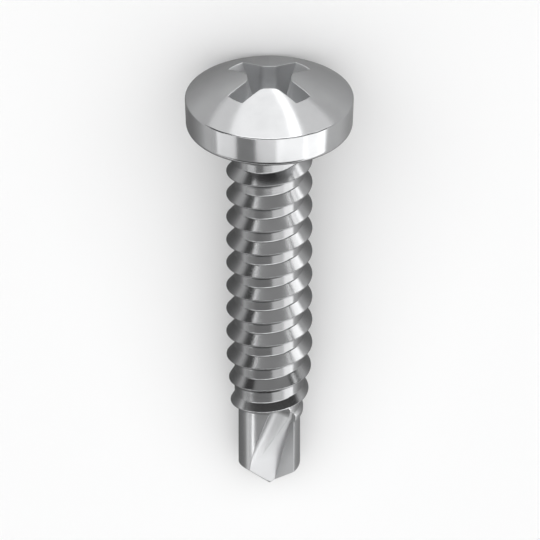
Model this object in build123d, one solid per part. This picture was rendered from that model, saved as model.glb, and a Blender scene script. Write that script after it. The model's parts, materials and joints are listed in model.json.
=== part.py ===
from build123d import *

import math
import os

# Self-drilling screw, ST4.2 x 19: pan head, cross recess type H No. 2, tapping thread, drill point.
# It is cold formed from one length of wire, so it is one solid.
# The screw is built upright on its own axis, with the bearing face of the head at height 0, the
# head above it and the point below it. Depths are measured down from the bearing face.
# Then it is laid on its side as it comes to rest, with the head towards +Y and one flute up.

# Head
head_diameter = 8.0
head_wall = 1.56  # height of the head's side, from the bearing face to the rim
wall_draft = 2.0  # degrees, the side leans in towards the bearing face
dome_radius = 7.4
rim_round = 0.1
bearing_edge_round = 0.28
neck_fillet = 0.45  # leaves the flat ring clear of the thread's crests

# Cross recess: four wings on the diagonals, with the lobes of the head between them
recess_diameter = 4.65
wing_width = 0.98
lobe_gap = 2.1  # across the recess, from the nose of one lobe to the opposite nose
lobe_round = 0.45
recess_wall_depth = 2.0  # from the crown of the dome to the foot of the wings
recess_draft = 2.5  # degrees, sides of the wings
wing_end_slope = 26.5  # degrees, the ends of the wings run in towards the axis
recess_floor_slope = 15.0  # degrees, the floor falls to the middle

# Thread, right hand. The lengths to the tip are measured along the axis
screw_length = 19.56  # under the head, to the tip
pitch = 1.252
crest_diameter = 4.09
thread_depth = 0.39
crest_flat = 0.06
end_flat = 0.24  # the crest is blunt where the thread ends
upper_flank = 50.0  # degrees from the plane across the axis, flank facing the head
lower_flank = 30.0  # flank facing the point
thread_start_height = 0.5  # the first turn begins inside the head
thread_end_to_tip = 3.79  # from the middle of the crest
thread_end_angle = -56.0  # degrees round the axis from +X
crest_fall_to_tip = 7.56  # the crest begins to fall here
crest_fall = 0.2  # how far it falls over the last turns
runout_length = 0.87  # measured along the axis, here the whole ridge sinks into the drill shank
runout_fall = 0.27
runout_rise = 0.2  # and how far it closes up on the turn before
ridge_seat = 0.05  # the ridge is rooted this far inside the core

# Drill point
drill_diameter = 2.93
point_angle = 108.0
lip_relief = 6.0  # degrees, the point's cone leans up behind each cutting lip
shoulder_to_tip = 5.21  # where the thread core narrows to the drill shank
shoulder_length = 0.35

# Flutes: each has a flat rake face along the axis, a flat floor that leans out towards the
# head, and a round groove milled along the floor's trailing edge
flute_count = 2
flute_length = 4.46  # from the tip, without the groove
rake_angle = -132.0  # degrees, from the screw's +X to the direction that the rake face faces
rake_offset = 0.127  # rake face to axis
floor_angle = -60.5  # the same for the floor
floor_slope = 15.5  # degrees, floor to axis
floor_offset = 0.128  # floor to the tip
groove_radius = 0.78
groove_top = (0.66, 0.22, 0.24)  # across, out from the drill's surface, down from the flute's top
groove_foot = (-0.44, 0.34, 2.87)

# Worked out from the sizes above
rim_radius = head_diameter / 2
bearing_radius = rim_radius - head_wall * math.tan(math.radians(wall_draft))
dome_height = dome_radius - math.sqrt(dome_radius**2 - rim_radius**2)
crown_height = head_wall + dome_height
crest_radius = crest_diameter / 2
root_radius = crest_radius - thread_depth
drill_radius = drill_diameter / 2
flank_height = thread_depth + ridge_seat
thread_end_depth = screw_length - thread_end_to_tip
runout_depth = thread_end_depth - runout_length
crest_fall_depth = screw_length - crest_fall_to_tip
shoulder_depth = screw_length - shoulder_to_tip
flute_top_depth = screw_length - flute_length
ridge_turns = (thread_start_height + thread_end_depth) / pitch
points_per_turn = 12
tool_reach = 2 * head_diameter


def turned_blank():
    """Head, thread core and drill shank before it is pointed, as one profile spun on the axis."""
    crown = (0, crown_height)
    rim = (rim_radius, head_wall)
    dome = RadiusArc(crown, rim, dome_radius)
    side = Polyline(
        rim,
        (bearing_radius, 0),
        (root_radius, 0),
        (root_radius, -shoulder_depth),
        (drill_radius, -shoulder_depth - shoulder_length),
        (drill_radius, -screw_length),
        (0, -screw_length),
        crown,
    )
    profile = make_face(Curve() + [dome, side])
    profile = round_corner(profile, rim, rim_round)
    profile = round_corner(profile, (bearing_radius, 0), bearing_edge_round)
    profile = round_corner(profile, (root_radius, 0), neck_fillet)
    return revolve(Plane.YZ * profile, Axis.Z)


def round_corner(profile, corner, radius):
    """Round the corner of the flat profile that lies nearest the given point."""
    nearest = profile.vertices().sort_by_distance((*corner, 0))[0]
    return fillet(nearest, radius)


def eased(start, end, value):
    """Share of the way from start to end, 0 before it and 1 after it, with a soft start and stop."""
    share = min(max((value - start) / (end - start), 0), 1)
    return share * share * (3 - 2 * share)


def core_radius(depth):
    """Radius of the core that carries the thread, which narrows to the drill shank."""
    share = min(max((depth - shoulder_depth) / shoulder_length, 0), 1)
    return root_radius + (drill_radius - root_radius) * share


def ridge_section(depth):
    """Corners of the thread's ridge at a depth, as radius and height, from the crest round.

    The ridge keeps its width at the core where its crest falls. The flanks end a little inside
    the core, and from there the sides are radial.
    """
    runout = eased(runout_depth, thread_end_depth, depth)
    sunk = runout_fall * runout
    crest = crest_radius - crest_fall * eased(crest_fall_depth, runout_depth, depth) - sunk
    foot = drill_radius - 2 * ridge_seat - sunk
    half_flat = (crest_flat + (end_flat - crest_flat) * runout) / 2
    middle = runout_rise * runout - depth
    upper = middle + half_flat + flank_height * math.tan(math.radians(upper_flank))
    lower = middle - half_flat - flank_height * math.tan(math.radians(lower_flank))
    return [
        (crest, middle - half_flat),
        (crest, middle + half_flat),
        (core_radius(-upper) - ridge_seat - sunk, upper),
        (foot, upper),
        (foot, lower),
        (core_radius(-lower) - ridge_seat - sunk, lower),
    ]


def ridge_edges(first_turn, last_turn):
    """The long edges of the ridge between two turns, counted up from its lower end."""
    steps = math.ceil((last_turn - first_turn) * points_per_turn)
    parameters = [step / steps for step in range(steps + 1)]
    corners = []
    for share in parameters:
        turn = first_turn + (last_turn - first_turn) * share
        depth = thread_end_depth - pitch * turn
        angle = math.radians(thread_end_angle + 360 * turn)
        corners.append(
            [
                (radius * math.cos(angle), radius * math.sin(angle), height)
                for radius, height in ridge_section(depth)
            ]
        )
    return [Edge.make_spline(list(points), parameters=parameters) for points in zip(*corners)]


def thread_ridge():
    """The ridge of the thread, turn by turn from its lower end, with its foot inside the core."""
    spans = math.ceil(ridge_turns)
    faces = []
    for span in range(spans):
        edges = ridge_edges(ridge_turns * span / spans, ridge_turns * (span + 1) / spans)
        neighbours = edges[1:] + edges[:1]
        faces += [Face.make_surface_from_curves(a, b) for a, b in zip(edges, neighbours)]
        if span == 0:
            faces.append(Face(Wire.make_polygon([edge @ 0 for edge in edges])))
        if span == spans - 1:
            faces.append(Face(Wire.make_polygon([edge @ 1 for edge in edges])))
    return Solid(Shell(faces))


def cross_recess():
    """The space of the cross recess: a drafted cross, held inside a cone that runs in."""
    wings = [Rot(0, 0, turn) * Rectangle(2 * recess_diameter, wing_width) for turn in (45, 135)]
    cross = Rectangle(lobe_gap, lobe_gap) + wings
    noses = cross.vertices().filter_by(lambda corner: corner.center().length < recess_diameter / 2)
    nose_width = lobe_gap - wing_width * math.sqrt(2)
    largest_round = 0.45 * nose_width / math.tan(math.radians(22.5))  # its tangents meet there
    cross = fillet(noses, min(lobe_round, largest_round))
    cross = Pos(0, 0, crown_height) * cross
    depth = recess_wall_depth + recess_diameter * math.tan(math.radians(recess_floor_slope)) / 2
    prism = extrude(cross, amount=-depth, taper=recess_draft)

    mouth_radius = recess_diameter / 2
    mouth_height = crown_height - dome_radius + math.sqrt(dome_radius**2 - mouth_radius**2)
    foot_height = crown_height - recess_wall_depth
    run_in = math.tan(math.radians(wing_end_slope))
    top_radius = mouth_radius + (crown_height - mouth_height) * run_in
    foot_radius = mouth_radius - (mouth_height - foot_height) * run_in
    floor_height = foot_height - foot_radius * math.tan(math.radians(recess_floor_slope))
    cone = Polyline(
        (0, crown_height),
        (top_radius, crown_height),
        (foot_radius, foot_height),
        (0, floor_height),
        close=True,
    )
    return prism & revolve(Plane.XZ * make_face(cone), Axis.Z)


def outside_of(point, normal):
    """All the space within reach on the side of a plane that it faces."""
    return extrude(Plane(point, z_dir=normal) * Rectangle(tool_reach, tool_reach), amount=tool_reach)


def facing(angle, slope):
    """Unit vector at an angle round the axis from +X, looking down by the slope."""
    return Vector(1, 0, 0).rotate(Axis.Y, slope).rotate(Axis.Z, angle)


def flute():
    """The space of the flute on the -Y side: wedge between rake face and floor, and the groove."""
    tip = Vector(0, 0, -screw_length)
    rake_facing = facing(rake_angle, 0)
    floor_facing = facing(floor_angle, floor_slope)
    wedge = outside_of(tip - rake_facing * rake_offset, rake_facing)
    wedge = wedge & outside_of(tip + floor_facing * floor_offset, floor_facing)
    wedge = wedge & outside_of((0, 0, -flute_top_depth), (0, 0, -1))

    ends = [
        Vector(across, -drill_radius - out, -flute_top_depth - down)
        for across, out, down in (groove_top, groove_foot)
    ]
    along = ends[1] - ends[0]
    groove = extrude(Plane(ends[0], z_dir=along) * Circle(groove_radius), amount=tool_reach / 2)
    return wedge + groove + Pos(ends[0]) * Sphere(groove_radius)


def ground_away():
    """The space below the cutting lip that is ground behind the rake face on the -Y side.

    The grind is part of a cone through the tip. It leans, so that behind the lip it clears the
    bottom of the hole.
    """
    tip = (0, 0, -screw_length)
    cone_radius = tool_reach * math.tan(math.radians(point_angle / 2))
    cone = Pos(0, 0, tool_reach / 2) * Cone(0, cone_radius, tool_reach)
    leaning = Pos(tip) * Rot(0, 0, rake_angle) * Rot(0, lip_relief, 0) * cone
    return outside_of(tip, facing(rake_angle + 180, 0)) - leaning


def screw():
    """The whole screw, upright on its own axis."""
    shape = turned_blank() + thread_ridge() - cross_recess()
    for number in range(flute_count):
        turned = Rot(0, 0, 360 * number / flute_count)
        shape = shape - turned * flute() - turned * ground_away()
    return shape.solid()


def rest_tilt():
    """Angle of the axis, in degrees, when head and thread both touch a flat surface.

    The head touches on the round edge of its bearing face. The thread touches on one of its
    crests on the +Y side, where the other flute keeps the drill's corner off the surface.
    """
    corner_angle = math.radians(90 + wall_draft)
    edge_centre = bearing_radius - bearing_edge_round / math.tan(corner_angle / 2)
    tilts = []
    turn = (90 - thread_end_angle) / 360 % 1
    while turn * pitch < thread_end_depth:
        crest, height = ridge_section(thread_end_depth - pitch * turn)[0]
        along = bearing_edge_round - height
        across = edge_centre - crest
        reach = math.hypot(along, across)
        tilts.append(math.atan2(across, along) + math.asin(bearing_edge_round / reach))
        turn += 1
    return math.degrees(min(tilts))


def laid_down(shape):
    """The screw on its side at rest, with the middle of its box at the origin, on height 0."""
    laid = Rot(rest_tilt() - 90, 0, 0) * shape
    box = laid.bounding_box()
    middle = box.center()
    return Pos(-middle.X, -middle.Y, -box.min.Z) * laid


os.makedirs("parts", exist_ok=True)
export_step(laid_down(screw()), "parts/self_drilling_screw.step")
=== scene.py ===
"""Looks of a self-drilling screw: zinc-plated steel, lying on a pale studio floor.

The screw is modelled upright on its own axis in millimetres, with the bearing face of the head at
height 0 and the point below it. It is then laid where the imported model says, in metres. Angles
are in degrees.
"""

import json
import logging
import math
from collections.abc import Iterable
from dataclasses import dataclass
from enum import Enum

import bmesh
import bpy
from bmesh.types import BMEdge, BMesh, BMVert
from bpy.types import Material, NodeSocket, NodeTree, Object, World
from mathutils import Matrix, Vector


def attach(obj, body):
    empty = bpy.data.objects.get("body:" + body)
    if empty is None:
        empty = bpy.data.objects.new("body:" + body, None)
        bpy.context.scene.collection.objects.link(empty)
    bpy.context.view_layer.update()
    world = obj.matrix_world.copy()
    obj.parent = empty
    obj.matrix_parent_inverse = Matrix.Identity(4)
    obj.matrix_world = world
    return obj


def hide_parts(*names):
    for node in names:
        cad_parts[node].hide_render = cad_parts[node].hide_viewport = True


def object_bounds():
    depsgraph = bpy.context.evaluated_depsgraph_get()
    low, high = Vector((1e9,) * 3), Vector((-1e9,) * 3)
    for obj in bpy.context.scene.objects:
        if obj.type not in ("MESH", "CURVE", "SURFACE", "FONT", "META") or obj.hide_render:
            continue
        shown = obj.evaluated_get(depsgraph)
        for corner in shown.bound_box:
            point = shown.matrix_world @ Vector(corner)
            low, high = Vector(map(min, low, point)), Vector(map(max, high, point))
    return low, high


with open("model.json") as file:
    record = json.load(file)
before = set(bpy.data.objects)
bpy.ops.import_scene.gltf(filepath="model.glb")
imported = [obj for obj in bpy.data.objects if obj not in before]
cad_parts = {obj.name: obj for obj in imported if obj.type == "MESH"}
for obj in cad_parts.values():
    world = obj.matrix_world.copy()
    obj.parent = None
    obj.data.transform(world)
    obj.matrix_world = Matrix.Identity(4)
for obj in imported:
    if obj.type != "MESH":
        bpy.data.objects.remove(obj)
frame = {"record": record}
CAD_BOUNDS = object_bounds()

NODE = "self_drilling_screw"
BODY = "root"
MILLIMETRE = 0.001
UNIT_SQUARE = 0.5  # half the side, as create_grid takes it
SAME_CORNER = 1e-5  # corners of a turned shell that are nearer than this are one
WHITE = (1.0, 1.0, 1.0, 1.0)
BLACK = (0.0, 0.0, 0.0, 1.0)

# Sizes that several parts of the screw share
SCREW_LENGTH = 19.56  # under the head, to the tip
CREST_DIAMETER = 4.09
THREAD_DEPTH = 0.39
DRILL_DIAMETER = 2.93

log = logging.getLogger(NODE)

Point = tuple[float, float]
Colour = tuple[float, float, float, float]


class Cut(Enum):
    """How two solids are put together."""

    JOIN = "UNION"
    TAKE_AWAY = "DIFFERENCE"
    KEEP_SHARED = "INTERSECT"


def tan(degrees: float) -> float:
    """Tangent of an angle in degrees."""
    return math.tan(math.radians(degrees))


def arc(centre: Point, radius: float, start: float, end: float, steps: int) -> list[Point]:
    """Points on a round stretch of a profile.

    Args:
        centre: Middle of the circle.
        radius: Its radius.
        start: Angle of the first point, from the first axis.
        end: Angle of the last point.
        steps: Number of chords.

    Returns:
        The points, both ends included.
    """
    angles = [math.radians(start + (end - start) * step / steps) for step in range(steps + 1)]
    return [(centre[0] + radius * math.cos(a), centre[1] + radius * math.sin(a)) for a in angles]


def rounded(before: Point, corner: Point, after: Point, radius: float, steps: int) -> list[Point]:
    """Points of the round that takes the place of a corner.

    Args:
        before: Any point on the line into the corner.
        corner: The sharp corner.
        after: Any point on the line out of it.
        radius: Radius of the round.
        steps: Number of chords.

    Returns:
        The points of the round, from one tangent point to the other.
    """
    tip = Vector(corner)
    back = (Vector(before) - tip).normalized()
    ahead = (Vector(after) - tip).normalized()
    half = back.angle(ahead) / 2
    centre = tip + (back + ahead).normalized() * radius / math.sin(half)
    start = (tip + back * radius / math.tan(half) - centre).normalized()
    end = (tip + ahead * radius / math.tan(half) - centre).normalized()
    return [tuple(centre + start.slerp(end, step / steps) * radius) for step in range(steps + 1)]


def eased(start: float, end: float, value: float) -> float:
    """Share of the way from start to end, 0 before it and 1 after it, with a soft start and stop."""
    share = min(max((value - start) / (end - start), 0), 1)
    return share * share * (3 - 2 * share)


def report(thing: Object) -> None:
    """Log that an object is made, with the number of its faces where it is a mesh.

    Args:
        thing: The new object.
    """
    if thing.type == "MESH":
        log.info("%s: %d faces", thing.name, len(thing.data.polygons))
    else:
        log.info("%s: %s", thing.name, thing.type.lower())


def new_object(name: str, shape: BMesh) -> Object:
    """Put a finished shape into the scene, with the faces of a closed one turned outwards.

    Args:
        name: Name of the object and its mesh.
        shape: The shape, which is freed.

    Returns:
        The new object, at the origin.
    """
    mesh = bpy.data.meshes.new(name)
    bmesh.ops.recalc_face_normals(shape, faces=shape.faces)
    if shape.calc_volume(signed=True) < 0:
        bmesh.ops.reverse_faces(shape, faces=shape.faces)
    shape.to_mesh(mesh)
    shape.free()
    thing = bpy.data.objects.new(name, mesh)
    bpy.context.scene.collection.objects.link(thing)
    return thing


def settle_modifiers(thing: Object) -> None:
    """Replace an object's mesh by what its modifiers make of it, and remove them.

    Args:
        thing: The object.
    """
    evaluated = thing.evaluated_get(bpy.context.evaluated_depsgraph_get())
    mesh = bpy.data.meshes.new_from_object(evaluated)
    thing.modifiers.clear()
    thing.data = mesh
    mesh.name = thing.name


def cut(thing: Object, tool: Object, how: Cut) -> None:
    """Join, subtract or intersect two closed solids. The second one is used up.

    Args:
        thing: The solid that is changed.
        tool: The solid that it is changed by.
        how: What is kept.
    """
    boolean = thing.modifiers.new(how.name, "BOOLEAN")
    boolean.operation = how.value
    boolean.solver = "MANIFOLD"
    boolean.material_mode = "TRANSFER"
    boolean.object = tool
    settle_modifiers(thing)
    bpy.data.objects.remove(tool)


def wear(thing: Object, finish: Material) -> None:
    """Give all faces of an object one finish."""
    thing.data.materials.clear()
    thing.data.materials.append(finish)


def show_in_gloss_only(card: Object) -> None:
    """Hide a card from the camera, from diffuse light and from shadows, so that the metal's gloss sees
    it.
    """
    card.visible_camera = card.visible_diffuse = card.visible_shadow = False


def ramp(
    tree: NodeTree, value: NodeSocket, over: Point, to: Point, kind: str = "LINEAR"
) -> NodeSocket:
    """Turn a value into another that runs between two levels.

    Args:
        tree: Nodes of the material or the world.
        value: The value that it follows.
        over: Where that value starts and ends.
        to: The levels at its start and its end.
        kind: The interpolation between them.

    Returns:
        The new value.
    """
    node = tree.nodes.new("ShaderNodeMapRange")
    node.interpolation_type = kind
    for name, number in zip(("From Min", "From Max", "To Min", "To Max"), (*over, *to)):
        node.inputs[name].default_value = number
    tree.links.new(value, node.inputs["Value"])
    return node.outputs["Result"]


def spun(profile: Iterable[Point], steps: int) -> BMesh:
    """Turn a profile once round the axis into a closed shell.

    Args:
        profile: Points as radius and height. The first and the last lie on the axis.
        steps: Number of steps round the axis.

    Returns:
        The shell.
    """
    shape = bmesh.new()
    corners = [shape.verts.new((radius, 0, height)) for radius, height in profile]
    edges = [shape.edges.new(pair) for pair in zip(corners, corners[1:])]
    bmesh.ops.spin(
        shape, geom=corners + edges, axis=(0, 0, 1), cent=(0, 0, 0),
        angle=math.tau, steps=steps, use_merge=True,
    )
    bmesh.ops.remove_doubles(shape, verts=shape.verts, dist=SAME_CORNER)
    return shape


def trim(shape: BMesh, point: Vector, normal: Vector) -> None:
    """Cut off what lies behind a plane and close the cut.

    Args:
        shape: The closed shape that is cut.
        point: A point on the plane.
        normal: The side of the plane that is kept.
    """
    geometry = shape.verts[:] + shape.edges[:] + shape.faces[:]
    result = bmesh.ops.bisect_plane(
        shape, geom=geometry, plane_co=point, plane_no=normal, clear_inner=True
    )
    rim = [item for item in result["geom_cut"] if isinstance(item, BMEdge)]
    bmesh.ops.edgeloop_fill(shape, edges=rim)


def half_space(point: Vector, normal: Vector, reach: float) -> BMesh:
    """A large cube with all of it cut off that lies behind a plane.

    Args:
        point: A point on the plane.
        normal: The side of the plane that is kept.
        reach: Half the side of the cube.

    Returns:
        The rest of the cube, closed.
    """
    shape = bmesh.new()
    bmesh.ops.create_cube(shape, size=2 * reach, matrix=Matrix.Translation(point))
    trim(shape, point, normal)
    return shape


@dataclass(frozen=True)
class PanHead:
    """The pan head, as one turned shell with the foot of its neck inside the thread's core."""

    diameter: float = 8.0
    wall: float = 1.56
    wall_draft: float = 2.0
    dome_radius: float = 7.4
    rim_round: float = 0.1
    bearing_edge_round: float = 0.28
    neck_radius: float = CREST_DIAMETER / 2 - THREAD_DEPTH
    neck_fillet: float = 0.45
    neck_seat: float = 0.03
    steps_round: int = 192
    dome_rings: int = 26
    corner_steps: int = 6

    @property
    def rim_radius(self) -> float:
        """Radius at the rim, where dome and wall would meet without their round."""
        return self.diameter / 2

    @property
    def crown_height(self) -> float:
        """Height of the crown of the dome over the bearing face."""
        return self.wall + self.dome_radius - math.sqrt(self.dome_radius**2 - self.rim_radius**2)

    def profile(self) -> list[Point]:
        """Profile of the head, round its outside and into its neck.

        Returns:
            Points from the crown to the axis below, as radius and height.
        """
        rim = (self.rim_radius, self.wall)
        edge = (self.rim_radius - self.wall * tan(self.wall_draft), 0.0)
        neck = (self.neck_radius, 0.0)
        on_neck = (self.neck_radius, -self.wall)
        slope = math.degrees(math.asin(self.rim_radius / self.dome_radius))
        middle = (0.0, self.crown_height - self.dome_radius)
        dome = arc(middle, self.dome_radius, 90, 90 - slope, self.dome_rings)[:-1]
        foot_radius = self.neck_radius - self.neck_seat
        foot_height = -self.neck_fillet - self.neck_seat
        return [
            *dome,
            *rounded(dome[-1], rim, edge, self.rim_round, self.corner_steps),
            *rounded(rim, edge, neck, self.bearing_edge_round, self.corner_steps),
            *rounded(edge, neck, on_neck, self.neck_fillet, self.corner_steps),
            (foot_radius, foot_height),
            (0.0, foot_height),
        ]

    def build(self) -> Object:
        """Make the solid head, without its recess."""
        return new_object("pan_head", spun(self.profile(), self.steps_round))


@dataclass(frozen=True)
class CrossRecess:
    """The space of the cross recess: drafted wings, held inside a cone that runs in."""

    diameter: float = 4.65
    wing_width: float = 0.98
    lobe_gap: float = 2.1
    lobe_round: float = 0.45
    wall_depth: float = 2.0
    draft: float = 2.5
    wing_end_slope: float = 26.5
    floor_slope: float = 15.0
    above_crown: float = 0.4
    below_walls: float = 1.5625  # how far the wings are made beyond their depth, to pass the floor
    nose_steps: int = 6
    cone_steps: int = 144

    def outline(self, inset: float) -> list[Point]:
        """Outline of the cross at one depth.

        Args:
            inset: How far the draft has brought the walls in.

        Returns:
            The points of one wing end and one nose, four times round.
        """
        half_width = self.wing_width / 2 - inset
        nose = self.lobe_gap / 2 - inset
        corner_radius = self.lobe_round + inset
        inner = half_width * math.sqrt(2)
        reach = self.diameter
        flat = nose - inner
        start, end = (reach, inner - reach), (reach, reach - inner)
        low, high = (nose, -flat), (nose, flat)
        corners = [
            start,
            *rounded(start, low, high, corner_radius, self.nose_steps),
            *rounded(low, high, end, corner_radius, self.nose_steps),
            end,
        ]
        turns = [Matrix.Rotation(quarter * math.pi / 2, 2) for quarter in range(4)]
        return [tuple(turn @ Vector(corner)) for turn in turns for corner in corners]

    def wings(self, crown: float) -> Object:
        """Make the drafted cross, from above the crown to below the floor.

        Args:
            crown: Height of the crown of the dome.

        Returns:
            The cross as a closed solid.
        """
        shape = bmesh.new()
        rims = []
        for depth in (-self.above_crown, self.wall_depth + self.below_walls):
            points = self.outline(depth * tan(self.draft))
            ring = [shape.verts.new((x, y, crown - depth)) for x, y in points]
            rims += [shape.edges.new(pair) for pair in zip(ring, ring[1:] + ring[:1])]
            shape.faces.new(ring)
        bmesh.ops.bridge_loops(shape, edges=rims)
        return new_object("wings", shape)

    def build(self, crown: float, dome_radius: float) -> Object:
        """Make the space of the recess.

        Args:
            crown: Height of the crown of the dome.
            dome_radius: Radius of the dome that the mouth is cut in.

        Returns:
            The space as a closed solid, which reaches a little over the crown.
        """
        mouth = self.diameter / 2
        mouth_height = crown - dome_radius + math.sqrt(dome_radius**2 - mouth**2)
        foot_height = crown - self.wall_depth
        run_in = tan(self.wing_end_slope)
        top_height = crown + self.above_crown
        foot_radius = mouth - (mouth_height - foot_height) * run_in
        cone = [
            (0.0, top_height),
            (mouth + (top_height - mouth_height) * run_in, top_height),
            (foot_radius, foot_height),
            (0.0, foot_height - foot_radius * tan(self.floor_slope)),
        ]
        space = self.wings(crown)
        space.name = "cross_recess"
        cut(space, new_object("run_in", spun(cone, self.cone_steps)), Cut.KEEP_SHARED)
        return space


@dataclass(frozen=True)
class ThreadedShank:
    """The thread with its core and the drill shank below it, as one helical skin.

    One section, a pitch tall, is spun up the helix from below the point to inside the head. Each
    copy is then drawn to the section that the thread has at its own depth.
    """

    length: float = SCREW_LENGTH
    pitch: float = 1.252
    crest_diameter: float = CREST_DIAMETER
    thread_depth: float = THREAD_DEPTH
    drill_diameter: float = DRILL_DIAMETER
    crest_flat: float = 0.06
    end_flat: float = 0.24
    upper_flank: float = 50.0  # from the plane across the axis, as the lower one
    lower_flank: float = 30.0
    crest_round: float = 0.01
    crest_nose: float = 0.08
    foot_round: float = 0.09
    top_height: float = 0.75
    bottom_margin: float = 1.4
    end_to_tip: float = 3.79
    end_angle: float = -56.0
    crest_fall_to_tip: float = 7.56
    crest_fall: float = 0.2
    runout_length: float = 0.87
    runout_fall: float = 0.27
    runout_rise: float = 0.2
    ridge_seat: float = 0.05
    shoulder_to_tip: float = 5.21
    shoulder_length: float = 0.35
    blunt_end: float = 0.85  # share of a step by which the last bare section closes up on the end
    same_corner: float = 1e-4
    steps_per_turn: int = 96
    round_steps: int = 3
    core_points: int = 2

    @property
    def core(self) -> float:
        """Radius of the core between the threads."""
        return self.crest_diameter / 2 - self.thread_depth

    @property
    def end_depth(self) -> float:
        """Depth of the middle of the crest where the thread ends."""
        return self.length - self.end_to_tip

    @property
    def rise(self) -> float:
        """Height that the helix gains in one step."""
        return self.pitch / self.steps_per_turn

    def core_radius(self, height: float) -> float:
        """Radius of the core, which narrows to the drill shank.

        Args:
            height: Height on the screw.

        Returns:
            The radius there.
        """
        shoulder = self.length - self.shoulder_to_tip
        share = min(max((-height - shoulder) / self.shoulder_length, 0), 1)
        return self.core + (self.drill_diameter / 2 - self.core) * share

    def ridge(self, turn: float) -> list[Point]:
        """Sharp corners of the ridge, a number of turns above the thread's end.

        Args:
            turn: Turns counted up the helix from the end of the thread.

        Returns:
            Lower foot, lower and upper edge of the crest, and upper foot, as radius and height.
        """
        depth = self.end_depth - self.pitch * turn
        runout_depth = self.end_depth - self.runout_length
        fall_depth = self.length - self.crest_fall_to_tip
        runout = eased(runout_depth, self.end_depth, depth)
        sunk = self.runout_fall * runout
        fallen = self.crest_fall * eased(fall_depth, runout_depth, depth)
        crest = self.crest_diameter / 2 - fallen - sunk
        half_flat = (self.crest_flat + (self.end_flat - self.crest_flat) * runout) / 2
        middle = self.runout_rise * runout - depth
        feet = []
        for side, flank in ((-1, self.lower_flank), (1, self.upper_flank)):
            rise = (self.thread_depth + self.ridge_seat) * tan(flank)
            core = self.core_radius(middle + side * (half_flat + rise))
            knee = core - self.ridge_seat - sunk
            share = (crest - core) / (crest - knee)
            feet.append((core, middle + side * (half_flat + rise * share)))
        return [feet[0], (crest, middle - half_flat), (crest, middle + half_flat), feet[1]]

    def section(self, turn: float) -> list[Point]:
        """Section of the skin, a pitch tall, a number of turns above the thread's end.

        Args:
            turn: Turns counted up the helix from the end of the thread.

        Returns:
            Points from the lower boundary to the upper one, as radius and height.
        """
        lower_foot, lower_crest, upper_crest, upper_foot = self.ridge(turn)
        depth = self.end_depth - self.pitch * turn
        ends = [-depth + side * self.pitch / 2 for side in (-1, 1)]
        low, high = [(self.core_radius(height), height) for height in ends]
        points = [
            *self.along_core(low, lower_foot),
            *rounded(low, lower_foot, lower_crest, self.foot_round, self.round_steps),
            *rounded(lower_foot, lower_crest, upper_crest, self.crest_nose, self.round_steps),
            *rounded(lower_crest, upper_crest, upper_foot, self.crest_round, self.round_steps),
            *rounded(upper_crest, upper_foot, high, self.foot_round, self.round_steps),
            *reversed(self.along_core(high, upper_foot)),
        ]
        if turn < 0:
            points = [(self.core_radius(height), height) for _, height in points]
        return points

    def along_core(self, start: Point, foot: Point) -> list[Point]:
        """Points on the core between a boundary of the section and the foot of the ridge.

        Args:
            start: The end of the section on that side.
            foot: The foot of the ridge on that side, which is left out.

        Returns:
            The points, from the boundary on.
        """
        shares = [step / (self.core_points + 1) for step in range(self.core_points + 1)]
        heights = [start[1] + (foot[1] - start[1]) * share for share in shares]
        return [(self.core_radius(height), height) for height in heights]

    def helical_skin(self, start: list[Point], turns: int) -> BMesh:
        """Spin a section up the helix for one turn, and stack that turn on itself.

        Args:
            start: The section at the lower end.
            turns: Number of turns.

        Returns:
            The skin, whose corners keep their number in the section.
        """
        shape = bmesh.new()
        station = shape.verts.layers.int.new("station")
        line = [shape.verts.new((radius, 0, height)) for radius, height in start]
        for number, corner in enumerate(line):
            corner[station] = number
        edges = [shape.edges.new(pair) for pair in zip(line, line[1:])]
        bmesh.ops.spin(
            shape, geom=line + edges, axis=(0, 0, 1), cent=(0, 0, 0), dvec=(0, 0, self.rise),
            angle=math.tau, steps=self.steps_per_turn,
        )
        one_turn = shape.verts[:] + shape.edges[:] + shape.faces[:]
        for number in range(1, turns):
            copied = bmesh.ops.duplicate(shape, geom=one_turn)["geom"]
            corners = [item for item in copied if isinstance(item, BMVert)]
            bmesh.ops.translate(shape, verts=corners, vec=(0, 0, number * self.pitch))
        return shape

    def draw_out(self, shape: BMesh, start: list[Point], first: int, last: int) -> None:
        """Draw each copy of the section to the one that the thread has at its depth.

        Args:
            shape: The skin.
            start: The section that it was spun from.
            first: Turn at its lower end.
            last: Turn at its upper end.
        """
        station = shape.verts.layers.int["station"]
        steps = range(first * self.steps_per_turn, last * self.steps_per_turn + 1)
        sections = {step: self.section(step / self.steps_per_turn) for step in steps}
        for corner in shape.verts:
            number = corner[station]
            step = steps[round((corner.co.z - start[number][1]) / self.rise)]
            radius, height = sections[step][number]
            turn = step / self.steps_per_turn
            if step == -1 and 0 < number < len(start) - 1:
                turn += self.blunt_end / self.steps_per_turn
            angle = math.radians(self.end_angle) + math.tau * turn
            corner.co = (radius * math.cos(angle), radius * math.sin(angle), height)

    def close(self, shape: BMesh, top: float) -> None:
        """Close each open end of the skin by a fan to a point on the axis.

        Args:
            shape: The skin.
            top: Height of the middle of its last section.
        """
        bottom = -self.length - self.bottom_margin
        middle = (top + bottom) / 2
        is_top = {edge: edge.verts[0].co.z > middle for edge in shape.edges if edge.is_boundary}
        for side, height in ((True, top), (False, bottom)):
            rim = [edge for edge, upper in is_top.items() if upper is side]
            fan = bmesh.ops.extrude_edge_only(shape, edges=rim)["geom"]
            ends = [item for item in fan if isinstance(item, BMVert)]
            bmesh.ops.pointmerge(shape, verts=ends, merge_co=(0, 0, height))

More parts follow.
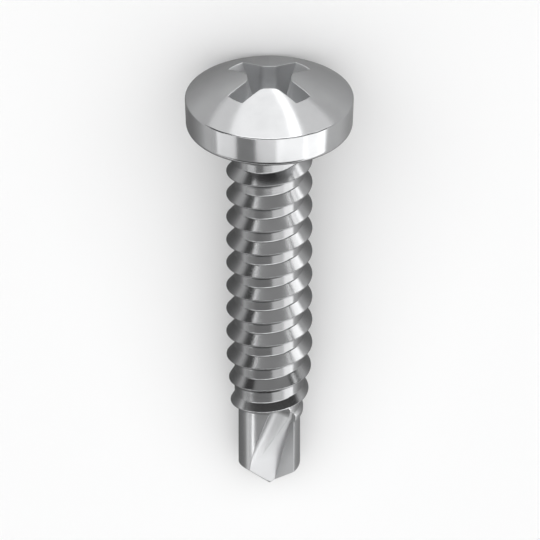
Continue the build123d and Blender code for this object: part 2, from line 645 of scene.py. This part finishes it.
    def build(self) -> Object:
        """Make the shank with its thread.

        Returns:
            The shank as a closed solid, from inside the head to below the point.
        """
        first = -math.ceil((self.end_to_tip + self.bottom_margin) / self.pitch)
        last = math.floor((self.end_depth + self.top_height) / self.pitch)
        start = self.section(first)
        shape = self.helical_skin(start, last - first)
        self.draw_out(shape, start, first, last)
        bmesh.ops.remove_doubles(shape, verts=shape.verts, dist=self.same_corner)
        self.close(shape, self.pitch * last - self.end_depth)
        return new_object("threaded_shank", shape)


@dataclass(frozen=True)
class DrillPoint:
    """The cuts that make the drill point: two flutes, and the grind behind each cutting lip."""

    length: float = SCREW_LENGTH
    diameter: float = DRILL_DIAMETER
    point_angle: float = 108.0
    lip_relief: float = 6.0
    flute_count: int = 2
    flute_length: float = 4.46
    rake_angle: float = -132.0
    rake_offset: float = 0.127
    floor_angle: float = -60.5
    floor_slope: float = 15.5
    floor_offset: float = 0.128
    groove_radius: float = 0.78
    groove_top: tuple[float, float, float] = (0.66, 0.22, 0.24)  # across, out of the shank, down
    groove_foot: tuple[float, float, float] = (-0.44, 0.34, 2.87)
    grind_overlap: float = 0.004
    reach: float = 8.0
    steps_round: int = 128
    groove_end_steps: int = 16

    @property
    def tip(self) -> Vector:
        """The tip of the screw."""
        return Vector((0, 0, -self.length))

    @property
    def flute_top(self) -> float:
        """Height of the upper end of the flutes."""
        return self.flute_length - self.length

    def facing(self, angle: float, slope: float) -> Vector:
        """Direction at an angle round the axis that looks down by a slope.

        Args:
            angle: Angle round the axis, from +X.
            slope: Angle below the plane across the axis.

        Returns:
            The unit vector.
        """
        across = math.cos(math.radians(slope))
        down = -math.sin(math.radians(slope))
        turn = math.radians(angle)
        return Vector((across * math.cos(turn), across * math.sin(turn), down))

    def wedge(self) -> Object:
        """Make the space between the rake face and the floor of the flute, below its top.

        Returns:
            The space as a closed solid.
        """
        rake = self.facing(self.rake_angle, 0)
        floor = self.facing(self.floor_angle, self.floor_slope)
        shape = half_space(self.tip - rake * self.rake_offset, rake, self.reach)
        trim(shape, self.tip + floor * self.floor_offset, floor)
        trim(shape, Vector((0, 0, self.flute_top)), Vector((0, 0, -1)))
        return new_object("wedge", shape)

    def groove(self) -> Object:
        """Make the round groove that runs along the trailing edge of the flute's floor.

        Returns:
            The groove as a closed solid with a round end.
        """
        ends = [
            Vector((across, -self.diameter / 2 - out, self.flute_top - down))
            for across, out, down in (self.groove_top, self.groove_foot)
        ]
        round_end = arc((0, 0), self.groove_radius, -90, 0, self.groove_end_steps)[1:]
        profile = [
            (0.0, -self.groove_radius),
            *round_end,
            (self.groove_radius, self.reach),
            (0.0, self.reach),
        ]
        shape = spun(profile, self.steps_round)
        turn = (ends[1] - ends[0]).to_track_quat("Z", "Y").to_matrix().to_4x4()
        shape.transform(Matrix.Translation(ends[0]) @ turn)
        return new_object("groove", shape)

    def grind(self) -> Object:
        """Make the space behind a rake face that is ground off below its cutting lip.

        Returns:
            The space as a closed solid.
        """
        back = self.facing(self.rake_angle + 180, 0)
        behind = half_space(self.tip - back * self.grind_overlap, back, self.reach)
        tool = new_object("grind", behind)
        base = self.reach * 2
        profile = [(0.0, 0.0), (base * tan(self.point_angle / 2), base), (0.0, base)]
        cone = spun(profile, self.steps_round)
        lean = Matrix.Rotation(math.radians(self.lip_relief), 4, "Y")
        turn = Matrix.Rotation(math.radians(self.rake_angle), 4, "Z")
        cone.transform(Matrix.Translation(self.tip) @ turn @ lean)
        cut(tool, new_object("cone", cone), Cut.TAKE_AWAY)
        return tool

    def carve(self, shank: Object, finish: Material) -> None:
        """Cut the flutes and grind the point.

        Args:
            shank: A screw whose shank reaches below its tip.
            finish: What the new faces wear.
        """
        for number in range(self.flute_count):
            turn = Matrix.Rotation(math.tau * number / self.flute_count, 4, "Z")
            for tool in (self.wedge(), self.groove(), self.grind()):
                report(tool)
                tool.data.transform(turn)
                wear(tool, finish)
                cut(shank, tool, Cut.TAKE_AWAY)


@dataclass(frozen=True)
class ScrewPlace:
    """Where the screw lies: its axis from the tip to the head, and the axis at the bearing face."""

    axis: Vector
    origin: Vector

    @classmethod
    def from_record(cls, record: dict) -> "ScrewPlace":
        """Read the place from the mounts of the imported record.

        Args:
            record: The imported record.

        Returns:
            The place, in metres.
        """
        mounts = {mount["name"]: mount for mount in record["mounts"]}
        bearing = mounts["bearing_face"]
        axis = -Vector(bearing["axis"]).normalized()
        origin = Vector(bearing["pos_m"])
        origin.x = 0
        return cls(axis, origin)

    @property
    def front(self) -> Vector:
        """Unit vector across the axis, away from the floor."""
        return Vector((1, 0, 0)).cross(self.axis)

    @property
    def matrix(self) -> Matrix:
        """From the upright screw in millimetres to where it lies, in metres."""
        turn = Matrix((Vector((1, 0, 0)), -self.front, self.axis)).transposed().to_4x4()
        return Matrix.Translation(self.origin) @ turn @ Matrix.Scale(MILLIMETRE, 4)


@dataclass(frozen=True)
class ZincPlate:
    """Bright electroplated zinc, as it comes out on one kind of surface of the screw.

    Its grey is in part painted light and shade: each kind of surface is given its own lighter or darker
    grey.
    Where it has a painted light at the point, it turns to that lighter grey between two depths below
    the head.
    """

    name: str
    # Grey of the plating, in part painted light and shade: it is set darker or lighter for each kind of
    # surface
    colour: float
    roughness: float
    anisotropy: float = 0.0
    mottle_depth: float = 0.16
    roughness_spread: float = 0.08
    mottle_size: float = 0.9
    mottle_detail: float = 3.0
    grain_size: float = 0.05
    grain_height: float = 0.0006
    edge_round: float = 0.04
    edge_samples: int = 12
    green_share: float = 1.008
    blue_share: float = 1.02
    # Painted light: a lighter grey that the finish turns to towards the point
    painted_light_grey_at_point: float | None = None
    painted_light_from: float = 14.0
    painted_light_to: float = 15.4

    def tint(self, grey: float) -> Colour:
        """The colour for a brightness, a touch bluer than grey."""
        return (grey, grey * self.green_share, grey * self.blue_share, 1.0)

    def material(self, place: ScrewPlace) -> Material:
        """Make the finish for a screw that lies in the given place.

        Args:
            place: Where the screw lies, which gives the direction of its turning marks.

        Returns:
            The material.
        """
        material = bpy.data.materials.new(self.name)
        material.use_nodes = True
        tree = material.node_tree
        shader = tree.nodes["Principled BSDF"]
        shader.inputs["Metallic"].default_value = 1.0
        position = tree.nodes.new("ShaderNodeTexCoord").outputs["Object"]
        from_axis = tree.nodes.new("ShaderNodeVectorMath")
        from_axis.operation = "SUBTRACT"
        from_axis.inputs[1].default_value = place.origin
        tree.links.new(position, from_axis.inputs[0])
        colour = self.mottle(tree, position)
        # Painted light: the grey turns lighter towards the point
        if self.painted_light_grey_at_point is not None:
            colour = self.paint_light_at_point(tree, colour, from_axis.outputs["Vector"], place)
        tree.links.new(colour, shader.inputs["Base Color"])
        self.mark_round(tree, from_axis.outputs["Vector"], place)
        self.roughen(tree, position)
        return material

    def mottle(self, tree: NodeTree, position: NodeSocket) -> NodeSocket:
        """Vary the colour and the roughness softly over the surface.

        Args:
            tree: Nodes of the finish.
            position: Place on the screw.

        Returns:
            The varied colour.
        """
        nodes, links = tree.nodes, tree.links
        mottle = nodes.new("ShaderNodeTexNoise")
        mottle.inputs["Scale"].default_value = 1 / (self.mottle_size * MILLIMETRE)
        mottle.inputs["Detail"].default_value = self.mottle_detail
        links.new(position, mottle.inputs["Vector"])
        colours = nodes.new("ShaderNodeMix")
        colours.data_type = "RGBA"
        colours.inputs["A"].default_value = self.tint(self.colour * (1 - self.mottle_depth / 2))
        colours.inputs["B"].default_value = self.tint(self.colour * (1 + self.mottle_depth / 2))
        links.new(mottle.outputs["Fac"], colours.inputs["Factor"])
        half = self.roughness_spread / 2
        levels = (self.roughness - half, self.roughness + half)
        roughness = ramp(tree, mottle.outputs["Fac"], (0, 1), levels)
        links.new(roughness, nodes["Principled BSDF"].inputs["Roughness"])
        return colours.outputs["Result"]

    def paint_light_at_point(
        self, tree: NodeTree, colour: NodeSocket, from_axis: NodeSocket, place: ScrewPlace
    ) -> NodeSocket:
        """Paint light on the finish: let its grey turn lighter towards the point.

        Args:
            tree: Nodes of the finish.
            colour: Its colour near the head.
            from_axis: Place on the screw, counted from its axis at the bearing face.
            place: Where the screw lies.

        Returns:
            The colour at all depths.
        """
        nodes, links = tree.nodes, tree.links
        depth = nodes.new("ShaderNodeVectorMath")
        depth.operation = "DOT_PRODUCT"
        depth.inputs[1].default_value = -place.axis / MILLIMETRE
        links.new(from_axis, depth.inputs[0])
        depths = (self.painted_light_from, self.painted_light_to)
        blend = nodes.new("ShaderNodeMix")
        blend.data_type = "RGBA"
        blend.inputs["B"].default_value = self.tint(self.painted_light_grey_at_point)
        links.new(ramp(tree, depth.outputs["Value"], depths, (0, 1)), blend.inputs["Factor"])
        links.new(colour, blend.inputs["A"])
        return blend.outputs["Result"]

    def mark_round(self, tree: NodeTree, from_axis: NodeSocket, place: ScrewPlace) -> None:
        """Draw out the gloss across the fine marks that run round the screw.

        Args:
            tree: Nodes of the finish.
            from_axis: Place on the screw, counted from its axis at the bearing face.
            place: Where the screw lies.
        """
        shader = tree.nodes["Principled BSDF"]
        shader.inputs["Anisotropic"].default_value = self.anisotropy
        around = tree.nodes.new("ShaderNodeVectorMath")
        around.operation = "CROSS_PRODUCT"
        around.inputs[0].default_value = place.axis
        tree.links.new(from_axis, around.inputs[1])
        tree.links.new(around.outputs["Vector"], shader.inputs["Tangent"])

    def roughen(self, tree: NodeTree, position: NodeSocket) -> None:
        """Give the surface its fine grain and soften its edges.

        Args:
            tree: Nodes of the finish.
            position: Place on the screw.
        """
        nodes, links = tree.nodes, tree.links
        grain = nodes.new("ShaderNodeTexNoise")
        grain.inputs["Scale"].default_value = 1 / (self.grain_size * MILLIMETRE)
        links.new(position, grain.inputs["Vector"])
        bump = nodes.new("ShaderNodeBump")
        bump.inputs["Distance"].default_value = self.grain_height * MILLIMETRE
        links.new(grain.outputs["Fac"], bump.inputs["Height"])
        bevel = nodes.new("ShaderNodeBevel")
        bevel.samples = self.edge_samples
        bevel.inputs["Radius"].default_value = self.edge_round * MILLIMETRE
        links.new(bevel.outputs["Normal"], bump.inputs["Normal"])
        links.new(bump.outputs["Normal"], nodes["Principled BSDF"].inputs["Normal"])


@dataclass(frozen=True)
class Screw:
    """The whole screw: head, recess, threaded shank and drill point, as one solid."""

    head: PanHead = PanHead()
    recess: CrossRecess = CrossRecess()
    shank: ThreadedShank = ThreadedShank()
    point: DrillPoint = DrillPoint()
    turned: ZincPlate = ZincPlate("turned_zinc", colour=0.36, roughness=0.14, anisotropy=0.4)
    # Painted shade and painted light: the thread's grey is darker than the head's, and turns lighter
    # towards the point
    rolled_painted_shade_and_light: ZincPlate = ZincPlate(
        "rolled_zinc_painted_shade_and_light", colour=0.29, roughness=0.18, anisotropy=0.5, painted_light_grey_at_point=0.52
    )
    # Painted light: the recess's grey is lighter than the rest of the plating
    punched_painted_light: ZincPlate = ZincPlate("punched_zinc_painted_light", colour=0.58, roughness=0.45)
    # Painted light: the flutes' grey turns lighter towards the point
    forged_painted_light: ZincPlate = ZincPlate(
        "forged_zinc_painted_light", colour=0.36, roughness=0.42,
        painted_light_grey_at_point=0.58, painted_light_from=15.3, painted_light_to=17.8,
    )
    sharp_angle: float = 24.0
    equal_areas: float = 0.0001  # faces whose areas differ by less weigh the same in the shading

    def build(self, place: ScrewPlace) -> Object:
        """Make the screw and lay it in its place.

        Args:
            place: Where the screw lies.

        Returns:
            The screw.
        """
        screw = self.head.build()
        shank = self.shank.build()
        recess = self.recess.build(self.head.crown_height, self.head.dome_radius)
        for part, finish in ((screw, self.turned), (shank, self.rolled_painted_shade_and_light), (recess, self.punched_painted_light)):
            report(part)
            wear(part, finish.material(place))
        cut(screw, shank, Cut.JOIN)
        cut(screw, recess, Cut.TAKE_AWAY)
        self.point.carve(screw, self.forged_painted_light.material(place))
        screw.name = screw.data.name = "plated_screw"
        screw.data.shade_smooth()
        screw.data.set_sharp_from_angle(angle=math.radians(self.sharp_angle))
        weighted = screw.modifiers.new("flat_faces_lead", "WEIGHTED_NORMAL")
        weighted.keep_sharp = True
        weighted.thresh = self.equal_areas
        settle_modifiers(screw)
        screw.data.transform(place.matrix)
        return screw

    def dress(self, screw: Object) -> None:
        """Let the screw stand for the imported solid.

        Args:
            screw: The finished screw.
        """
        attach(screw, BODY)
        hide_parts(NODE)


class Task(Enum):
    """What a lamp is there for."""

    FLOOR = "to light the floor"
    GLOSS = "to be seen in the metal"


@dataclass(frozen=True)
class SoftBox:
    """A flat soft lamp that runs along the screw, placed by the angles at which the screw sees it.

    The azimuth goes round the screw's axis from straight above it, to the right where it is
    positive. The reach is given by its two ends, as angles towards the head.
    """

    name: str
    azimuth: float
    width: float
    reach: tuple[float, float]
    radiance: float
    task: Task = Task.GLOSS
    distance: float = 700.0

    def build(self, place: ScrewPlace) -> Object:
        """Hang the lamp at its azimuth round the screw's axis, facing the screw.

        Args:
            place: Where the screw lies.

        Returns:
            The lamp.
        """
        lamp = bpy.data.lights.new(self.name, "AREA")
        lamp.shape = "RECTANGLE"
        distance = self.distance * MILLIMETRE
        start, end = [distance * tan(angle) for angle in self.reach]
        lamp.size = 2 * distance * tan(self.width / 2)
        lamp.size_y = end - start
        lamp.energy = self.radiance * math.pi * lamp.size * lamp.size_y
        turn = math.radians(self.azimuth)
        away = place.front * math.cos(turn) + Vector((1, 0, 0)) * math.sin(turn)
        thing = bpy.data.objects.new(self.name, lamp)
        basis = Matrix((place.axis.cross(away), place.axis, away)).transposed().to_4x4()
        spot = place.origin + away * distance + place.axis * (start + end) / 2
        thing.matrix_world = Matrix.Translation(spot) @ basis
        thing.visible_camera = False
        thing.visible_diffuse = self.task is Task.FLOOR
        thing.visible_glossy = self.task is Task.GLOSS
        bpy.context.scene.collection.objects.link(thing)
        return thing


@dataclass(frozen=True)
class Reflector:
    """A bright card behind the head, leaning back, seen only in the metal's gloss.

    It is wider at its top than at its foot, so that on the dome its sides run towards the recess.
    Foot and top are each given by where they begin and end across the screw.
    """

    name: str
    foot: tuple[float, float]
    top: tuple[float, float]
    radiance: float
    gap: float = 6.4
    lean: float = 7.0
    height: float = 14.0

    def build(self, behind: float) -> Object:
        """Stand the card on the floor.

        Args:
            behind: How far along the floor the object reaches, in metres.

        Returns:
            The card.
        """
        shape = bmesh.new()
        upright = Matrix.Rotation(math.pi / 2, 4, "X")
        bmesh.ops.create_grid(shape, size=UNIT_SQUARE, matrix=upright)
        for corner in shape.verts:
            is_top = corner.co.z > 0
            left, right = self.top if is_top else self.foot
            across = right if corner.co.x > 0 else left
            out = self.gap + (self.lean if is_top else 0)
            height = self.height if is_top else 0
            corner.co = Vector((across, out, height)) * MILLIMETRE + Vector((0, behind, 0))
        card = new_object(self.name, shape)
        wear(card, self.glow())
        show_in_gloss_only(card)
        return card

    def glow(self) -> Material:
        """Make the card's even light.

        Returns:
            The material.
        """
        material = bpy.data.materials.new(self.name)
        material.use_nodes = True
        shader = material.node_tree.nodes["Principled BSDF"]
        shader.inputs["Base Color"].default_value = BLACK
        shader.inputs["Emission Color"].default_value = WHITE
        shader.inputs["Emission Strength"].default_value = self.radiance
        return material


@dataclass(frozen=True)
class Flag:
    """A black card that lies beside the screw, seen only in the metal's gloss.

    It fades outwards and towards the head, so that the screw's sides darken softly.
    """

    name: str
    near: float
    far: float
    darkness: float
    start: float = -40.0
    fades_from: float = 6.0
    end: float = 17.0
    lift: float = 0.02

    def build(self) -> Object:
        """Lay the card on the floor.

        Returns:
            The card.
        """
        shape = bmesh.new()
        bmesh.ops.create_grid(shape, size=UNIT_SQUARE)
        for corner in shape.verts:
            across = self.far if corner.co.x > 0 else self.near
            along = self.end if corner.co.y > 0 else self.start
            corner.co = Vector((across, along, self.lift)) * MILLIMETRE
        card = new_object(self.name, shape)
        wear(card, self.fading_black())
        show_in_gloss_only(card)
        return card

    def fading_black(self) -> Material:
        """Make the card's black, which turns clear towards its far side and its end.

        Returns:
            The material.
        """
        material = bpy.data.materials.new(self.name)
        material.use_nodes = True
        nodes, links = material.node_tree.nodes, material.node_tree.links
        black = nodes["Principled BSDF"]
        black.inputs["Base Color"].default_value = BLACK
        black.inputs["Specular IOR Level"].default_value = 0.0
        blend = nodes.new("ShaderNodeMixShader")
        links.new(self.strength(material.node_tree), blend.inputs["Fac"])
        links.new(nodes.new("ShaderNodeBsdfTransparent").outputs["BSDF"], blend.inputs[1])
        links.new(black.outputs["BSDF"], blend.inputs[2])
        links.new(blend.outputs["Shader"], nodes["Material Output"].inputs["Surface"])
        return material

    def strength(self, tree: NodeTree) -> NodeSocket:
        """Work out how dense the black is at each place on the card.

        Args:
            tree: Nodes of the card's material.

        Returns:
            The density, from 0 to the card's darkness.
        """
        nodes, links = tree.nodes, tree.links
        place = nodes.new("ShaderNodeSeparateXYZ")
        links.new(nodes.new("ShaderNodeTexCoord").outputs["Object"], place.inputs["Vector"])
        both = nodes.new("ShaderNodeMath")
        both.operation = "MULTIPLY"
        ways = (("X", self.near, self.far), ("Y", self.fades_from, self.end))
        for share, (axis, full, clear) in zip(both.inputs, ways):
            over = (full * MILLIMETRE, clear * MILLIMETRE)
            links.new(ramp(tree, place.outputs[axis], over, (1, 0), "SMOOTHSTEP"), share)
        strength = nodes.new("ShaderNodeMath")
        strength.operation = "MULTIPLY"
        strength.inputs[1].default_value = self.darkness
        links.new(both.outputs["Value"], strength.inputs[0])
        return strength.outputs["Value"]


@dataclass(frozen=True)
class Studio:
    """A pale floor under soft lamps that run along the screw, in a dim room.

    One lamp lights the floor from behind the others, which show only in the metal. The lamps at
    30 mm are so near that only the head's wall or only the drill point sees them.
    """

    floor_size: float = 3000.0
    floor_grey: float = 0.92
    floor_roughness: float = 0.9
    horizon: float = 1.0
    ceiling: float = 0.1
    glow_height: float = 0.22
    lamps: tuple[SoftBox, ...] = (
        SoftBox("floor_lamp", azimuth=0, width=130, reach=(-40, 62), radiance=1.3,
                task=Task.FLOOR, distance=900),
        SoftBox("roof_lamp", azimuth=0, width=120, reach=(-16, 2), radiance=3.4),
        SoftBox("back_lamp", azimuth=0, width=120, reach=(58, 80), radiance=4.0),
        SoftBox("head_lamp", azimuth=0, width=110, reach=(32, 58), radiance=0.5),
        SoftBox("flank_lamp", azimuth=82, width=30, reach=(27, 58), radiance=3.2),
        SoftBox("left_lamp", azimuth=-64, width=28, reach=(-46, -18), radiance=0.5),
        SoftBox("dim_lamp", azimuth=-20, width=60, reach=(-46, -18), radiance=0.34),
        SoftBox("middle_lamp", azimuth=30, width=40, reach=(-46, -18), radiance=1.35),
        SoftBox("right_lamp", azimuth=70, width=40, reach=(-46, -18), radiance=2.55),
        SoftBox("point_lamp", azimuth=77, width=34, reach=(-65, -46), radiance=2.1),
        SoftBox("wall_left_lamp", azimuth=-59, width=30, reach=(-32, -18.4), radiance=1.2, distance=30),
        SoftBox("wall_front_lamp", azimuth=1, width=38, reach=(-32, -18.4), radiance=1.3, distance=30),
        SoftBox("wall_right_lamp", azimuth=35, width=30, reach=(-32, -18.4), radiance=1.1, distance=30),
        SoftBox("land_lamp", azimuth=-63, width=9, reach=(-51, -46), radiance=1.8, distance=30),
    )
    cards: tuple[Reflector, ...] = (
        Reflector("wide_card", foot=(-4.4, 2.3), top=(-24.6, 36.0), radiance=1.45),
        Reflector("front_card", foot=(-1.8, 0.4), top=(-11.5, 7.5), radiance=2.2, gap=6.3),
        Reflector("streak_card", foot=(0.05, 0.75), top=(6.1, 9.4), radiance=3.5, gap=6.2),
    )
    flags: tuple[Flag, ...] = (
        Flag("left_flag", near=0.0, far=-30.0, darkness=0.8),
        Flag("right_flag", near=0.0, far=16.0, darkness=0.7),
    )

    def build(self, place: ScrewPlace, behind: float) -> list[Object]:
        """Make the room, the floor, the lamps and the cards.

        Args:
            place: Where the screw lies.
            behind: How far the object reaches towards its head, in metres.

        Returns:
            All of them but the room.
        """
        bpy.context.scene.world = self.room()
        return [
            self.floor(),
            *[lamp.build(place) for lamp in self.lamps],
            *[card.build(behind) for card in self.cards],
            *[flag.build() for flag in self.flags],
        ]

    def floor(self) -> Object:
        """Lay the floor, of matt white paper.

        Returns:
            The floor.
        """
        shape = bmesh.new()
        bmesh.ops.create_grid(shape, size=self.floor_size / 2 * MILLIMETRE)
        floor = new_object("floor", shape)
        paper = bpy.data.materials.new("floor_paper")
        paper.use_nodes = True
        shader = paper.node_tree.nodes["Principled BSDF"]
        shader.inputs["Base Color"].default_value = (*[self.floor_grey] * 3, 1)
        shader.inputs["Roughness"].default_value = self.floor_roughness
        shader.inputs["Specular IOR Level"].default_value = 0.0
        wear(floor, paper)
        return floor

    def room(self) -> World:
        """Make the room: white at the horizon, and dim from a little above it.

        Returns:
            The world.
        """
        world = bpy.data.worlds.new("room")
        world.use_nodes = True
        nodes, links = world.node_tree.nodes, world.node_tree.links
        direction = nodes.new("ShaderNodeSeparateXYZ")
        links.new(nodes.new("ShaderNodeTexCoord").outputs["Generated"], direction.inputs["Vector"])
        heights, levels = (0, self.glow_height), (self.horizon, self.ceiling)
        glow = ramp(world.node_tree, direction.outputs["Z"], heights, levels, "SMOOTHSTEP")
        background = nodes["Background"]
        background.inputs["Color"].default_value = WHITE
        links.new(glow, background.inputs["Strength"])
        return world


@dataclass(frozen=True)
class PhotoCamera:
    """The camera at the photograph's angle: a long lens, level across the screw."""

    image_pixels: float = 540.0
    head_pixels: float = 169.0
    axis_x_pixel: float = 269.3
    top_pixel: float = 55.14
    bottom_pixel: float = 484.0
    elevation: float = 30.0
    distance: float = 1200.0
    sensor: float = 36.0
    clip_start: float = 10.0

    def build(self, place: ScrewPlace, screw: Object, head_diameter: float) -> Object:
        """Place the camera so that the screw fills the picture as in the photograph.

        Args:
            place: Where the screw lies.
            screw: The screw, whose outline is set between the photograph's top and bottom.
            head_diameter: Diameter of its head, which gives the scale.

        Returns:
            The camera.
        """
        scale = head_diameter / self.head_pixels
        lift = math.radians(self.elevation)
        away = (place.axis * math.sin(lift) + place.front * math.cos(lift)).normalized()
        right = Vector((1, 0, 0))
        up = away.cross(right)
        heights = [corner.co.dot(up) / MILLIMETRE for corner in screw.data.vertices]
        middle_pixel = (self.top_pixel + self.bottom_pixel) / 2
        middle = (max(heights) + min(heights)) / 2
        height = middle + (middle_pixel - self.image_pixels / 2) * scale
        across = (self.image_pixels / 2 - self.axis_x_pixel) * scale
        target = (right * across + up * height) * MILLIMETRE
        camera = bpy.data.cameras.new("photo_camera")
        camera.sensor_width = self.sensor
        camera.lens = self.sensor * self.distance / (self.image_pixels * scale)
        camera.clip_start = self.clip_start * MILLIMETRE
        thing = bpy.data.objects.new("photo_camera", camera)
        basis = Matrix((right, up, away)).transposed().to_4x4()
        spot = target + away * (self.distance * MILLIMETRE + place.origin.dot(away))
        thing.matrix_world = Matrix.Translation(spot) @ basis
        bpy.context.scene.collection.objects.link(thing)
        bpy.context.scene.camera = thing
        return thing


def main() -> None:
    """Build the screw, dress it, set the studio and the camera round it, and report each piece."""
    logging.basicConfig(level=logging.INFO, format="%(name)s: %(message)s")
    place = ScrewPlace.from_record(frame["record"])
    plan = Screw()
    screw = plan.build(place)
    plan.dress(screw)
    report(screw)
    for piece in Studio().build(place, CAD_BOUNDS[1][1]):
        report(piece)
    report(PhotoCamera().build(place, screw, plan.head.diameter))
    bpy.context.scene.view_settings.view_transform = "Standard"


if __name__ == "__main__":
    main()
